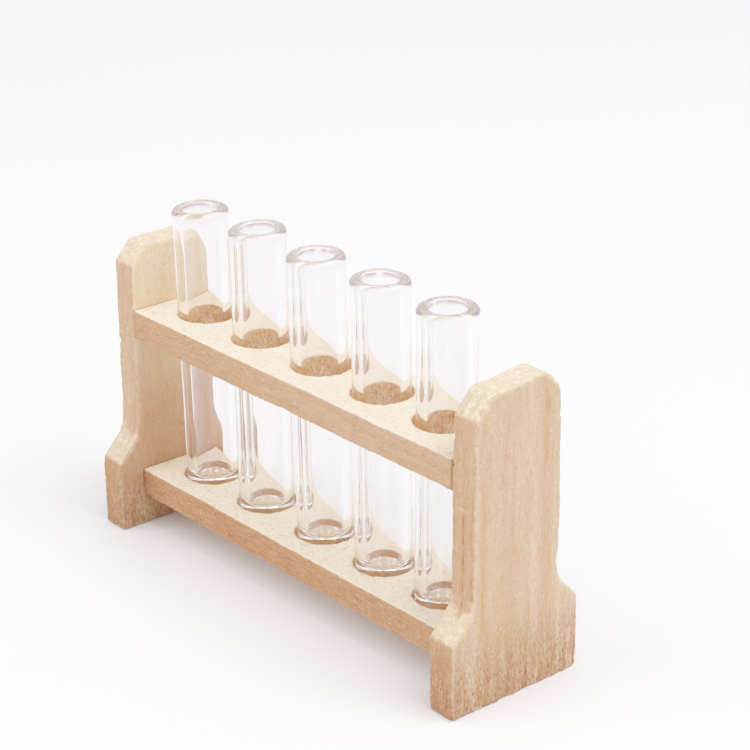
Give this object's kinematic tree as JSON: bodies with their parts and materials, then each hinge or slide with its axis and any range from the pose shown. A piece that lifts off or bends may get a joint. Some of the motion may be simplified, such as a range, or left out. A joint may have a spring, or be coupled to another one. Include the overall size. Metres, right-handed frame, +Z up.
{
  "type": "miniature test tube rack with tubes",
  "caption": "Dollhouse-scale wooden rack with two coved end panels and two shelves, holding a row of loose, thick-walled glass test tubes.",
  "frame": {"origin": "on the ground under the middle of the rack's box", "axes": "+Z up, X along the row of tubes, Y across the rack's depth with the front at -Y"},
  "size_m": [0.048, 0.0138, 0.0313],
  "materials": {
    "panel_wood": "bare, sanded",
    "shelf_wood": "bare, sanded",
    "tube_glass": "clear, fire-polished lip"
  },
  "bodies": {
    "rack": {"end_panel_left": "panel_wood", "end_panel_right": "panel_wood", "tube_shelf": "shelf_wood", "base_shelf": "shelf_wood"},
    "first_tube": {"test_tube_1": "tube_glass"},
    "second_tube": {"test_tube_2": "tube_glass"},
    "third_tube": {"test_tube_3": "tube_glass"},
    "fourth_tube": {"test_tube_4": "tube_glass"},
    "fifth_tube": {"test_tube_5": "tube_glass"}
  },
  "joints": [
    {"name": "lift_tube_1", "type": "slide", "parent": "rack", "child": "first_tube", "axis": [0, 0, 1], "range_m": [0, 0.024]},
    {"name": "lift_tube_2", "type": "slide", "parent": "rack", "child": "second_tube", "axis": [0, 0, 1], "range_m": [0, 0.024]},
    {"name": "lift_tube_3", "type": "slide", "parent": "rack", "child": "third_tube", "axis": [0, 0, 1], "range_m": [0, 0.024]},
    {"name": "lift_tube_4", "type": "slide", "parent": "rack", "child": "fourth_tube", "axis": [0, 0, 1], "range_m": [0, 0.024]},
    {"name": "lift_tube_5", "type": "slide", "parent": "rack", "child": "fifth_tube", "axis": [0, 0, 1], "range_m": [0, 0.024]}
  ]
}
